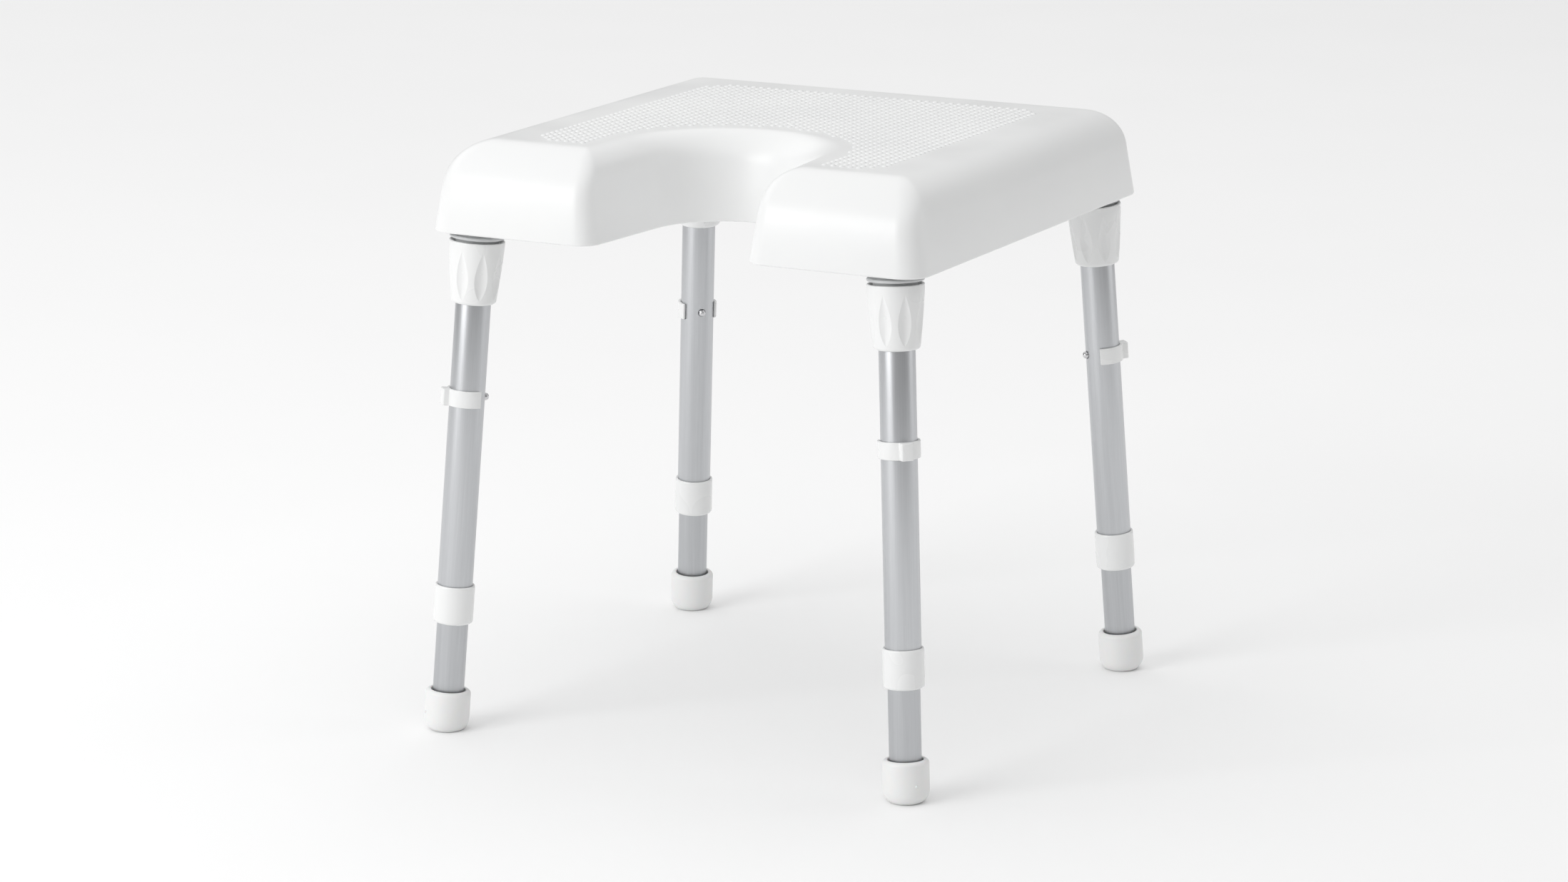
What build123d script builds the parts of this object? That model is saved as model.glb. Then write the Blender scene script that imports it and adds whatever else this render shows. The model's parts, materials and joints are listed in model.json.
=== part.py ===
"""Height-adjustable shower stool with a moulded seat and four telescopic legs.

Millimetres, +Z up. The origin is on the floor under the middle of the stool,
the seat's cut-out faces -Y, and the legs stand on the third of their seven
height settings. Every leg piece is drawn in the leg's own frame: Z runs up
the tube from the floor, and X points out along the stool's diagonal.
"""
import os
from math import cos, isclose, radians, sin, sqrt, tan

from build123d import *

# ---- legs: where they stand ----
LEG_SPREAD = 205.5  # foot centre to each of the stool's middle planes, at the floor
LEG_LEAN = 0.0572  # how far a leg comes in for each unit of height, in X and in Y
LEGS = {
    "front_left": (-1, -1),
    "front_right": (1, -1),
    "rear_left": (-1, 1),
    "rear_right": (1, 1),
}

# ---- tubes ----
OUTER_OD = 28.0
OUTER_BORE = 25.6
INNER_OD = 25.0
INNER_BORE = 22.0
OUTER_END = 91.5  # lower end of the outer tube, up the leg from the floor
OUTER_TOP = 438.0
INNER_END = 8.0
INNER_TOP = 384.0
FIT = 0.05  # radial gap between pieces that are pushed together
RUN = 0.1  # radial gap between pieces that slide
PAST = 5.0  # how far a cut runs on past the face that it opens

# ---- height setting ----
PIN_LEVEL = 272.4
HOLE_PITCH = 25.0
SETTINGS_BELOW = 2  # settings lower than this one
SETTINGS_ABOVE = 4
PIN_D = 6.0
PIN_HOLE_D = 6.7
PIN_STICK_OUT = 3.5  # how far the pin's round end stands past the outer tube
PIN_NOSE_ROUND = 2.9
PIN_CHAMFER = 0.5

# ---- height clip ----
CLIP_HEIGHT = 13.5
CLIP_BORE = 28.3
CLIP_OD = 33.0
CLIP_BLOCK_REACH = 21.0
CLIP_BLOCK_WIDTH = 10.0
CLIP_BLOCK_ROUND = 1.6
CLIP_EDGE_ROUND = 0.6
CLIP_MOUTH = 122.0  # degrees left open on the side where the pin comes out
PIN_BLIND = 1.6  # plastic left behind the pin's fixed end

# ---- guide sleeve, and the glide in the inner tube's top ----
SLEEVE_OD = 32.0
SLEEVE_LENGTH = 31.0
SLEEVE_LIP = 3.0
SLEEVE_ROUND = 2.6
SLEEVE_CHAMFER = 0.7
GLIDE_DEPTH = 7.0
GLIDE_WALL = 2.2
GLIDE_FLOOR = 1.0
GLIDE_CAP = 2.4
GLIDE_CHAMFER = 0.8

# ---- foot ----
FOOT_OD = 36.4
FOOT_HEIGHT = 33.0
FOOT_SOLE = 6.0
FOOT_BLANK_END = -2.0  # lower end before the sole is cut level with the floor
FOOT_ROUND = 12.0
FOOT_RIM_ROUND = 3.4
FOOT_MOUTH_OD = 27.4
FOOT_MOUTH_DEPTH = 5.0
WASHER_OD = 21.0
WASHER_BORE = 8.0
WASHER_THICK = 1.6

# ---- socket, clamp nut and grip ring ----
FLANGE_TOP = 402.8
FLANGE_THICK = 2.7
FLANGE_OD = 44.0
FLANGE_ROUND = 1.2
NECK_OD = 35.5
NECK_CHAMFER = 1.0
SOCKET_ROOF_TOP = 444.5
SOCKET_ROOF_THICK = 3.0
THREAD_END = 376.0
THREAD_CORE_OD = 34.4
THREAD_CREST_OD = 36.8
THREAD_PITCH = 4.0
THREAD_TURNS = 4.5
THREAD_ROOT_WIDTH = 2.5
THREAD_FLANK = 62.0  # degrees between the ridge's root and its flank
NUT_BOTTOM = 348.1
NUT_HEIGHT = 50.0
NUT_TOP_OD = 44.0
NUT_MIDDLE_OD = 39.4
NUT_MIDDLE = 20.0  # height of that diameter above the nut's bottom
NUT_BOTTOM_OD = 35.4
NUT_BOTTOM_FLARE = 20.0  # degrees off the axis
NUT_TOP_FLARE = 1.0
NUT_HEEL_ROUND = 2.4
NUT_MOUTH_OD = 40.6
NUT_MOUTH_DEPTH = 3.0
NUT_BORE = 37.4
NUT_FLOOR = 4.2
NUT_FLOOR_BORE = 28.8
FLUTES = 8
FLUTE_DEPTH = 2.0
FLUTE_LENGTH = 56.0
FLUTE_D = 14.0
FLUTE_LEVEL = 22.0  # height of a flute's middle above the nut's bottom
FLUTE_FACE_OD = 39.8  # the nut's diameter at that height
FLUTE_LEAN = 4.5  # degrees, to follow the nut's taper
GRIP_BOTTOM = 353.5
GRIP_HEIGHT = 19.0
GRIP_BORE = 28.3
GRIP_BOTTOM_OD = 30.8
GRIP_TOP_OD = 32.4
GRIP_SLOT = 2.5
GRIP_CLEAR = 0.35
GRIP_HEADROOM = 1.0

# ---- socket screw ----
SCREW_D = 4.8
SCREW_HEAD_D = 9.0
SCREW_HEAD_HEIGHT = 2.5
SCREW_ROUND = 1.2
SCREW_END = 456.0
SCREW_CROSS = 1.1
SCREW_CROSS_SPAN = 5.0
SCREW_CROSS_DEPTH = 1.4
SCREW_PILOT_D = 4.9
SCREW_PILOT_END = 457.0

# ---- seat ----
RIM_Z = 405.0
SEAT_HEIGHT = 70.0
SEAT_HALF_WIDTH = 214.0
SEAT_HALF_DEPTH = 209.0
SEAT_DRAFT = 8.0
SIDE_ROUND = 34.0
FRONT_ROUND = 45.0
BACK_ROUND = 29.0
CUT_ROUND = 28.0
CUT_RADIUS = 59.0
CUT_CENTRE_Y = -118.0
CUT_FLARE = 5.0
CORNER_RADIUS = 20.0
HORN_RADIUS = 17.0
LEAST_RADIUS = 3.0
CORNER_SHRINK = 0.4  # how fast the corners sharpen as the walls come in
SEAT_WALL = 4.0
LEVELS = [0, 14, 28, 38, 46, 53, 59, 63.5, 67, 69.2, 70]
RIB_THICK = 3.0
RIB_DEPTH = 16.0
RIB_PITCH = 46.0
RIBS_ALONG = 7
BOSS_OD = 43.0
BOSS_BOTTOM = 407.0


def leg_frame(side, end):
    """The plane of one leg: origin on the floor, Z up the tube, X outwards."""
    up = (-side * LEG_LEAN, -end * LEG_LEAN, 1)
    outward = (side, end, 2 * LEG_LEAN)
    return Plane(origin=(side * LEG_SPREAD, end * LEG_SPREAD, 0), x_dir=outward, z_dir=up)


def wall_inset(height, rounding):
    """How far a drafted, top-rounded wall has come in at a height above the rim."""
    draft = radians(SEAT_DRAFT)
    centre_height = SEAT_HEIGHT - rounding
    if height <= centre_height + rounding * sin(draft):
        return height * tan(draft)
    centre_inset = centre_height * tan(draft) + rounding / cos(draft)
    return centre_inset - sqrt(max(rounding**2 - (height - centre_height) ** 2, 0))


def corners_at(plan, x):
    """The corners of a plan that stand at one distance from its middle line."""
    return plan.vertices().filter_by(lambda v: isclose(abs(v.X), x, rel_tol=1e-6))


def seat_outline(level, height, inwards):
    """The seat's plan at one level, drawn at a height, and moved in by a wall."""
    side = wall_inset(level, SIDE_ROUND) + inwards
    half_width = SEAT_HALF_WIDTH - side
    front = -SEAT_HALF_DEPTH + wall_inset(level, FRONT_ROUND) + inwards
    back = SEAT_HALF_DEPTH - wall_inset(level, BACK_ROUND) - inwards
    cut_radius = CUT_RADIUS + wall_inset(level, CUT_ROUND) + inwards
    flare = radians(CUT_FLARE)
    arc_end = (cut_radius * cos(flare), CUT_CENTRE_Y + cut_radius * sin(flare))
    mouth = arc_end[0] + (arc_end[1] - front) * tan(flare)
    with BuildSketch(Plane.XY.offset(RIM_Z + height)) as plan:
        with BuildLine():
            Polyline(
                arc_end,
                (mouth, front),
                (half_width, front),
                (half_width, back),
                (-half_width, back),
                (-half_width, front),
                (-mouth, front),
                (-arc_end[0], arc_end[1]),
            )
            ThreePointArc((-arc_end[0], arc_end[1]), (0, CUT_CENTRE_Y + cut_radius), arc_end)
        make_face()
        lost = CORNER_SHRINK * side
        fillet(corners_at(plan, half_width), max(CORNER_RADIUS - lost, LEAST_RADIUS))
        fillet(corners_at(plan, mouth), max(HORN_RADIUS - lost, LEAST_RADIUS))
    return plan.sketch.faces()[0]


def seat_form(inwards, top_drop):
    """The seat as a solid block, lofted through its plans from rim to top."""
    stretch = (SEAT_HEIGHT - top_drop) / SEAT_HEIGHT
    with BuildPart() as form:
        loft([seat_outline(level, level * stretch, inwards) for level in LEVELS])
    return form.part


def make_seat_ribs():
    """A square grid of ribs under the top, still running past the walls."""
    rib_bottom = Plane.XY.offset(RIM_Z + SEAT_HEIGHT - SEAT_WALL - RIB_DEPTH)
    with BuildPart() as ribs:
        with BuildSketch(rib_bottom):
            with GridLocations(RIB_PITCH, 0, RIBS_ALONG, 1):
                Rectangle(RIB_THICK, 2 * SEAT_HALF_DEPTH)
            with GridLocations(0, RIB_PITCH, 1, RIBS_ALONG):
                Rectangle(2 * SEAT_HALF_WIDTH, RIB_THICK)
        extrude(amount=RIB_DEPTH + PAST)
    return ribs.part


def make_boss():
    """The solid post that a leg socket is pushed into, before it is bored."""
    with BuildPart() as boss:
        with BuildSketch(Plane.XY.offset(BOSS_BOTTOM)):
            Circle(BOSS_OD / 2)
        extrude(amount=RIM_Z + SEAT_HEIGHT - BOSS_BOTTOM)
    return boss.part


def make_boss_bore():
    """The room that the socket and its screw take up in a boss."""
    with BuildPart() as bore:
        with BuildSketch(Plane.XY.offset(BOSS_BOTTOM - PAST)):
            Circle(NECK_OD / 2 + FIT)
        extrude(amount=SOCKET_ROOF_TOP + FIT - BOSS_BOTTOM + PAST)
        with BuildSketch(Plane.XY.offset(SOCKET_ROOF_TOP)):
            Circle(SCREW_PILOT_D / 2)
        extrude(amount=SCREW_PILOT_END - SOCKET_ROOF_TOP)
    return bore.part


def make_seat():
    """The seat shell: walls and top, ribs, and four bored bosses."""
    outside = seat_form(0, 0)
    hollow = seat_form(SEAT_WALL, SEAT_WALL)
    boss = make_boss()
    bore = make_boss_bore()
    frames = [leg_frame(*corner) for corner in LEGS.values()]
    with BuildPart() as seat:
        add(outside)
        add(hollow, mode=Mode.SUBTRACT)
        add(make_seat_ribs() & hollow)
        for frame in frames:
            add((frame.location * boss) & outside)
        for frame in frames:
            add(frame.location * bore, mode=Mode.SUBTRACT)
    return seat.part


def make_leg_socket():
    """Grey socket: neck in the seat, flange, threaded skirt and blind bore."""
    flange_bottom = FLANGE_TOP - FLANGE_THICK
    roof_bottom = SOCKET_ROOF_TOP - SOCKET_ROOF_THICK
    thread_depth = (THREAD_CREST_OD - THREAD_CORE_OD) / 2
    with BuildPart() as socket:
        with BuildSketch(Plane.XY.offset(THREAD_END)):
            Circle(THREAD_CORE_OD / 2)
        extrude(amount=flange_bottom - THREAD_END)
        with BuildSketch(Plane.XY.offset(flange_bottom)):
            Circle(FLANGE_OD / 2)
        extrude(amount=FLANGE_THICK)
        rims = socket.edges().filter_by(GeomType.CIRCLE).sort_by(lambda e: e.radius)[-2:]
        fillet(rims, FLANGE_ROUND)
        with BuildSketch(Plane.XY.offset(FLANGE_TOP)):
            Circle(NECK_OD / 2)
        extrude(amount=SOCKET_ROOF_TOP - FLANGE_TOP)
        chamfer(socket.faces().sort_by(Axis.Z)[-1].edges(), NECK_CHAMFER)
        with BuildSketch(Plane.XY.offset(THREAD_END)):
            Circle(OUTER_OD / 2 + FIT)
        extrude(amount=roof_bottom - THREAD_END, mode=Mode.SUBTRACT)
        with BuildSketch(Plane.XY.offset(roof_bottom)):
            Circle(SCREW_D / 2 + FIT)
        extrude(amount=SOCKET_ROOF_THICK, mode=Mode.SUBTRACT)
        with BuildLine(Plane.XY.offset(THREAD_END + THREAD_PITCH / 2)):
            path = Helix(THREAD_PITCH, THREAD_PITCH * THREAD_TURNS, THREAD_CORE_OD / 2)
        with BuildSketch(Plane(origin=path @ 0, x_dir=(1, 0, 0), z_dir=path % 0)):
            with Locations((thread_depth / 2 - FIT, 0)):
                Trapezoid(THREAD_ROOT_WIDTH, thread_depth + 2 * FIT, THREAD_FLANK, rotation=-90)
        sweep(path=path, is_frenet=True)
    return socket.part


def make_socket_screw():
    """Pan-head screw that holds the socket up in its boss."""
    head_top = SOCKET_ROOF_TOP - SOCKET_ROOF_THICK
    head_bottom = head_top - SCREW_HEAD_HEIGHT
    with BuildPart() as screw:
        with BuildSketch(Plane.XY.offset(head_bottom)):
            Circle(SCREW_HEAD_D / 2)
        extrude(amount=SCREW_HEAD_HEIGHT)
        fillet(screw.faces().sort_by(Axis.Z)[0].edges(), SCREW_ROUND)
        with BuildSketch(Plane.XY.offset(head_top)):
            Circle(SCREW_D / 2)
        extrude(amount=SCREW_END - head_top)
        chamfer(screw.faces().sort_by(Axis.Z)[-1].edges(), SCREW_ROUND)
        with BuildSketch(Plane.XY.offset(head_bottom)):
            Rectangle(SCREW_CROSS_SPAN, SCREW_CROSS)
            Rectangle(SCREW_CROSS, SCREW_CROSS_SPAN)
        extrude(amount=SCREW_CROSS_DEPTH, mode=Mode.SUBTRACT)
    return screw.part


def make_grip_ring():
    """Split tapered ring that the clamp nut squeezes onto the outer tube."""
    top = GRIP_BOTTOM + GRIP_HEIGHT
    with BuildPart() as ring:
        with BuildSketch(Plane.XZ):
            with BuildLine():
                Polyline(
                    (GRIP_BORE / 2, GRIP_BOTTOM),
                    (GRIP_BOTTOM_OD / 2, GRIP_BOTTOM),
                    (GRIP_TOP_OD / 2, top),
                    (GRIP_BORE / 2, top),
                    close=True,
                )
            make_face()
        revolve(axis=Axis.Z)
        with BuildSketch(Plane.XY.offset(GRIP_BOTTOM)):
            with Locations((GRIP_TOP_OD / 2, 0)):
                Rectangle(GRIP_TOP_OD / 2, GRIP_SLOT)
        extrude(amount=GRIP_HEIGHT, mode=Mode.SUBTRACT)
    return ring.part


def make_flute_cutter():
    """A spindle that scoops one lens-shaped flute out of the clamp nut."""
    with BuildPart() as spindle:
        with BuildSketch(Plane.XZ):
            Ellipse(FLUTE_D / 2, FLUTE_LENGTH / 2)
            with Locations((-FLUTE_D / 2, 0)):
                Rectangle(FLUTE_D, FLUTE_LENGTH + PAST, mode=Mode.SUBTRACT)
        revolve(axis=Axis.Z)
    return spindle.part


def make_clamp_nut():
    """Fluted hand nut: convex taper outside, cone and thread room inside."""
    top = NUT_BOTTOM + NUT_HEIGHT
    floor_top = NUT_BOTTOM + NUT_FLOOR
    shoulder = GRIP_BOTTOM + GRIP_HEIGHT + GRIP_HEADROOM
    starts, ends = radians(NUT_BOTTOM_FLARE), radians(NUT_TOP_FLARE)
    spindle = make_flute_cutter()
    with BuildPart() as nut:
        with BuildSketch(Plane.XZ):
            with BuildLine():
                outside = Spline(
                    (NUT_BOTTOM_OD / 2, NUT_BOTTOM),
                    (NUT_MIDDLE_OD / 2, NUT_BOTTOM + NUT_MIDDLE),
                    (NUT_TOP_OD / 2, top),
                    tangents=[(sin(starts), cos(starts)), (sin(ends), cos(ends))],
                )
                Polyline(outside @ 1, (0, top), (0, NUT_BOTTOM), outside @ 0)
            make_face()
        revolve(axis=Axis.Z)
        fillet(nut.faces().sort_by(Axis.Z)[0].edges(), NUT_HEEL_ROUND)
        with BuildSketch(Plane.XZ):
            with BuildLine():
                Polyline(
                    (0, NUT_BOTTOM),
                    (NUT_FLOOR_BORE / 2, NUT_BOTTOM),
                    (NUT_FLOOR_BORE / 2, floor_top),
                    (GRIP_BOTTOM_OD / 2 + GRIP_CLEAR, floor_top),
                    (GRIP_BOTTOM_OD / 2 + GRIP_CLEAR, GRIP_BOTTOM),
                    (GRIP_TOP_OD / 2 + GRIP_CLEAR, GRIP_BOTTOM + GRIP_HEIGHT),
                    (GRIP_TOP_OD / 2 + GRIP_CLEAR, shoulder),
                    (NUT_BORE / 2, shoulder),
                    (NUT_BORE / 2, top - NUT_MOUTH_DEPTH),
                    (NUT_MOUTH_OD / 2, top),
                    (0, top),
                    close=True,
                )
            make_face()
        revolve(axis=Axis.Z, mode=Mode.SUBTRACT)
        with PolarLocations((FLUTE_FACE_OD + FLUTE_D) / 2 - FLUTE_DEPTH, FLUTES):
            with Locations(Location((0, 0, NUT_BOTTOM + FLUTE_LEVEL), (0, FLUTE_LEAN, 0))):
                add(spindle, mode=Mode.SUBTRACT)
    return nut.part


def make_outer_tube():
    """Upper leg tube, cross-drilled once for the height pin."""
    with BuildPart() as tube:
        with BuildSketch(Plane.XY.offset(OUTER_END)):
            Circle(OUTER_OD / 2)
            Circle(OUTER_BORE / 2, mode=Mode.SUBTRACT)
        extrude(amount=OUTER_TOP - OUTER_END)
        with BuildSketch(Plane.YZ):
            with Locations((0, PIN_LEVEL)):
                Circle(PIN_HOLE_D / 2)
        extrude(amount=OUTER_OD, both=True, mode=Mode.SUBTRACT)
    return tube.part


def make_inner_tube():
    """Lower leg tube, cross-drilled at every height setting."""
    settings = range(-SETTINGS_BELOW, SETTINGS_ABOVE + 1)
    with BuildPart() as tube:
        with BuildSketch(Plane.XY.offset(INNER_END)):
            Circle(INNER_OD / 2)
            Circle(INNER_BORE / 2, mode=Mode.SUBTRACT)
        extrude(amount=INNER_TOP - INNER_END)
        with BuildSketch(Plane.YZ):
            with Locations([(0, PIN_LEVEL + HOLE_PITCH * step) for step in settings]):
                Circle(PIN_HOLE_D / 2)
        extrude(amount=INNER_OD, both=True, mode=Mode.SUBTRACT)
    return tube.part


def make_tube_glide():
    """Plug in the top of the inner tube that centres it in the outer one."""
    with BuildPart() as glide:
        with BuildSketch(Plane.XY.offset(INNER_TOP - GLIDE_DEPTH)):
            Circle(INNER_BORE / 2 - FIT)
        extrude(amount=GLIDE_DEPTH)
        with BuildSketch(Plane.XY.offset(INNER_TOP)):
            Circle(OUTER_BORE / 2 - RUN)
        extrude(amount=GLIDE_CAP)
        chamfer(glide.faces().sort_by(Axis.Z)[-1].edges(), GLIDE_CHAMFER)
        with BuildSketch(Plane.XY.offset(INNER_TOP - GLIDE_DEPTH)):
            Circle(INNER_BORE / 2 - GLIDE_WALL)
        extrude(amount=GLIDE_DEPTH - GLIDE_FLOOR, mode=Mode.SUBTRACT)
    return glide.part


def make_guide_sleeve():
    """White sleeve on the end of the outer tube, with a lip for the inner one."""
    bottom = OUTER_END - SLEEVE_LIP
    with BuildPart() as sleeve:
        with BuildSketch(Plane.XY.offset(bottom)):
            Circle(SLEEVE_OD / 2)
        extrude(amount=SLEEVE_LENGTH)
        fillet(sleeve.faces().sort_by(Axis.Z)[0].edges(), SLEEVE_ROUND)
        with BuildSketch(Plane.XY.offset(bottom)):
            Circle(INNER_OD / 2 + RUN)
        extrude(amount=SLEEVE_LIP, mode=Mode.SUBTRACT)
        with BuildSketch(Plane.XY.offset(OUTER_END)):
            Circle(OUTER_OD / 2 + FIT)
        extrude(amount=SLEEVE_LENGTH, mode=Mode.SUBTRACT)
        chamfer(sleeve.faces().sort_by(Axis.Z)[-1].edges(), SLEEVE_CHAMFER)
    return sleeve.part


def make_height_clip():
    """Open ring that snaps round the outer tube and carries the pin."""
    with BuildPart() as clip:
        with BuildSketch(Plane.XY.offset(PIN_LEVEL - CLIP_HEIGHT / 2)):
            Circle(CLIP_OD / 2)
            with BuildLine():
                reach = CLIP_OD
                rise = reach * tan(radians(CLIP_MOUTH / 2))
                Polyline((0, 0), (-reach, rise), (-reach, -rise), close=True)
            make_face(mode=Mode.SUBTRACT)
            with Locations((CLIP_BLOCK_REACH / 2, 0)):
                RectangleRounded(CLIP_BLOCK_REACH, CLIP_BLOCK_WIDTH, CLIP_BLOCK_ROUND)
            Circle(CLIP_BORE / 2, mode=Mode.SUBTRACT)
        extrude(amount=CLIP_HEIGHT)
        rims = clip.edges().group_by(Axis.Z)[0] + clip.edges().group_by(Axis.Z)[-1]
        fillet(rims, CLIP_EDGE_ROUND)
        with BuildSketch(Plane.YZ):
            with Locations((0, PIN_LEVEL)):
                Circle(PIN_D / 2 + FIT)
        extrude(amount=CLIP_BLOCK_REACH - PIN_BLIND, mode=Mode.SUBTRACT)
    return clip.part


def make_lock_pin():
    """Steel pin held in the clip's block, with a round end past the tube."""
    fixed_end = CLIP_BLOCK_REACH - PIN_BLIND - FIT
    round_end = -OUTER_OD / 2 - PIN_STICK_OUT
    with BuildPart() as pin:
        with BuildSketch(Plane.YZ.offset(round_end)):
            with Locations((0, PIN_LEVEL)):
                Circle(PIN_D / 2)
        extrude(amount=fixed_end - round_end)
        fillet(pin.faces().sort_by(Axis.X)[0].edges(), PIN_NOSE_ROUND)
        chamfer(pin.faces().sort_by(Axis.X)[-1].edges(), PIN_CHAMFER)
    return pin.part


def make_foot():
    """Rubber foot: rolled rim, round heel and a blind bore for the tube."""
    with BuildPart() as foot:
        with BuildSketch(Plane.XY.offset(FOOT_BLANK_END)):
            Circle(FOOT_OD / 2)
        extrude(amount=FOOT_HEIGHT - FOOT_BLANK_END)
        fillet(foot.faces().sort_by(Axis.Z)[0].edges(), FOOT_ROUND)
        fillet(foot.faces().sort_by(Axis.Z)[-1].edges(), FOOT_RIM_ROUND)
        with BuildSketch(Plane.XY.offset(FOOT_SOLE)):
            Circle(INNER_OD / 2 + FIT)
        extrude(amount=FOOT_HEIGHT, mode=Mode.SUBTRACT)
        with BuildSketch(Plane.XY.offset(FOOT_HEIGHT - FOOT_MOUTH_DEPTH)):
            Circle(FOOT_MOUTH_OD / 2)
        extrude(amount=FOOT_MOUTH_DEPTH, mode=Mode.SUBTRACT)
    return foot.part


def make_foot_washer():
    """Steel washer that keeps the tube from cutting through the foot."""
    with BuildPart() as washer:
        with BuildSketch(Plane.XY.offset(FOOT_SOLE + FIT)):
            Circle(WASHER_OD / 2)
            Circle(WASHER_BORE / 2, mode=Mode.SUBTRACT)
        extrude(amount=WASHER_THICK)
    return washer.part


def flatten_sole(placed_foot):
    """Cut a leaning foot level with the floor, so that it stands flat."""
    with BuildPart() as level_foot:
        add(placed_foot)
        split(bisect_by=Plane.XY, keep=Keep.TOP)
    return level_foot.part


def save(part, name):
    """Label a finished piece and write its STEP file."""
    part.label = name
    export_step(part, f"parts/{name}.step")


os.makedirs("parts", exist_ok=True)
save(make_seat(), "seat_shell")

LEG_PIECES = {
    "leg_socket": make_leg_socket(),
    "socket_screw": make_socket_screw(),
    "grip_ring": make_grip_ring(),
    "clamp_nut": make_clamp_nut(),
    "outer_tube": make_outer_tube(),
    "guide_sleeve": make_guide_sleeve(),
    "inner_tube": make_inner_tube(),
    "tube_glide": make_tube_glide(),
    "height_clip": make_height_clip(),
    "lock_pin": make_lock_pin(),
    "foot_washer": make_foot_washer(),
}
rubber_foot = make_foot()

for leg, corner in LEGS.items():
    place = leg_frame(*corner).location
    for piece, shape in LEG_PIECES.items():
        save(place * shape, f"{leg}_{piece}")
    save(flatten_sole(place * rubber_foot), f"{leg}_foot")
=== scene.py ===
"""Looks of a height-adjustable shower stool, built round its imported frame. Metres, +Z up."""
import json
from math import atan2, cos, pi, radians, sin, sqrt, tan

import bmesh
import bpy
from mathutils import Matrix, Vector


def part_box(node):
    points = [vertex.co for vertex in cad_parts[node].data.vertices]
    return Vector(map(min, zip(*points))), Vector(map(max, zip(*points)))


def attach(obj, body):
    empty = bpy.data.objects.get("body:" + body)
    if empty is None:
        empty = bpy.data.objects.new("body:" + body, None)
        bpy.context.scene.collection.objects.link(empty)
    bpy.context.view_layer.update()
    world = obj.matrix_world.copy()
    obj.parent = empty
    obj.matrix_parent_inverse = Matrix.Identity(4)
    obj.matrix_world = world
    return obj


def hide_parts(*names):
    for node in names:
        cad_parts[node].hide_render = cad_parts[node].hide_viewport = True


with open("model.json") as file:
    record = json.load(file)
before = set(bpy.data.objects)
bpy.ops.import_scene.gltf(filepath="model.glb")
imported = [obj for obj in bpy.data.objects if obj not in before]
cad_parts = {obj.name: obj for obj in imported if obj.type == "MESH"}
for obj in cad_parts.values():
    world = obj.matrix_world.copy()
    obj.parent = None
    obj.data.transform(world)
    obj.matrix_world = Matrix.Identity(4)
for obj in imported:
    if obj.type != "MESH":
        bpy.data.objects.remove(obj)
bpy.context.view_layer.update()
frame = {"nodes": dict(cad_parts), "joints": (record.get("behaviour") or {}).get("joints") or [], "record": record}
MM = 0.001


# ---------------------------------------------------------------------------
# White seat plastic: injection-moulded polypropylene with a faint peel from
# the tool's polish, a soft gloss, and slight clouds where the melt met.
# ---------------------------------------------------------------------------
class Signal:
    """A shader or geometry value: a sum on it adds a Math node, node() adds any other."""

    def __init__(self, tree, socket=None):
        self.tree = tree
        self.socket = socket

    def node(self, kind, settings, sockets, output=0):
        """Adds one node: its settings first, then the values or links of its sockets."""
        made = self.tree.nodes.new(kind)
        for key, value in settings.items():
            setattr(made, key, value)
        for key, value in sockets.items():
            if isinstance(value, Signal):
                self.tree.links.new(value.socket, made.inputs[key])
            else:
                made.inputs[key].default_value = value
        return Signal(self.tree, made.outputs[output] if made.outputs else None)

    def maths(self, operation, first, second=0.0):
        """One Math node on two values."""
        return self.node("ShaderNodeMath", {"operation": operation}, {0: first, 1: second})

    def __add__(self, other):
        return self.maths("ADD", self, other)

    def __radd__(self, other):
        return self.maths("ADD", other, self)

    def __sub__(self, other):
        return self.maths("SUBTRACT", self, other)

    def __rsub__(self, other):
        return self.maths("SUBTRACT", other, self)

    def __mul__(self, other):
        return self.maths("MULTIPLY", self, other)

    def __rmul__(self, other):
        return self.maths("MULTIPLY", other, self)

    def __lt__(self, other):
        return self.maths("LESS_THAN", self, other)

    def __gt__(self, other):
        return self.maths("GREATER_THAN", self, other)

    def noise(self, scale, detail=2.0, roughness=0.5):
        """Cloudy noise read at this place, from 0 to 1."""
        sockets = {"Vector": self, "Scale": scale, "Detail": detail, "Roughness": roughness}
        return self.node("ShaderNodeTexNoise", {}, sockets)

    def between(self, low, high):
        """This value, spread so that its middle half runs from a low to a high."""
        return self.node("ShaderNodeMapRange", {}, {
            "Value": self,
            "From Min": 0.25,
            "From Max": 0.75,
            "To Min": low,
            "To Max": high,
        })

    def tint(self, low, high):
        """A colour between two, as this value goes from 0 to 1."""
        sockets = {0: self, 6: (*low, 1), 7: (*high, 1)}
        return self.node("ShaderNodeMix", {"data_type": "RGBA"}, sockets, output=2)

    def bump(self, strength, depth):
        """A surface normal raised by this height."""
        sockets = {"Strength": strength, "Distance": depth, "Height": self}
        return self.node("ShaderNodeBump", {}, sockets)


def new_material(name):
    """An empty material and the signal of its object's own coordinates."""
    material = bpy.data.materials.new(name)
    material.use_nodes = True
    material.node_tree.nodes.clear()
    place = Signal(material.node_tree).node("ShaderNodeTexCoord", {}, {}, output=3)
    return material, place


def surface(place, sockets):
    """Ends a material in one Principled surface."""
    shader = place.node("ShaderNodeBsdfPrincipled", {}, sockets)
    place.node("ShaderNodeOutputMaterial", {}, {"Surface": shader})


def moulded_plastic(name, pale, dim, gloss, rough, peel, clouds):
    """A glossy moulded plastic: two near tones, uneven gloss and a fine peel."""
    material, place = new_material(name)
    cloud = place.noise(clouds, 4.0).between(0.0, 1.0)
    sheen = place.noise(clouds * 2, 1.0).between(gloss, rough)
    skin = place.noise(150.0, 2.0)
    surface(place, {
        "Base Color": cloud.tint(dim, pale),
        "Roughness": sheen,
        "Normal": skin.bump(peel, 0.1 * MM),
        "IOR": 1.49,
    })
    return material


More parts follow.
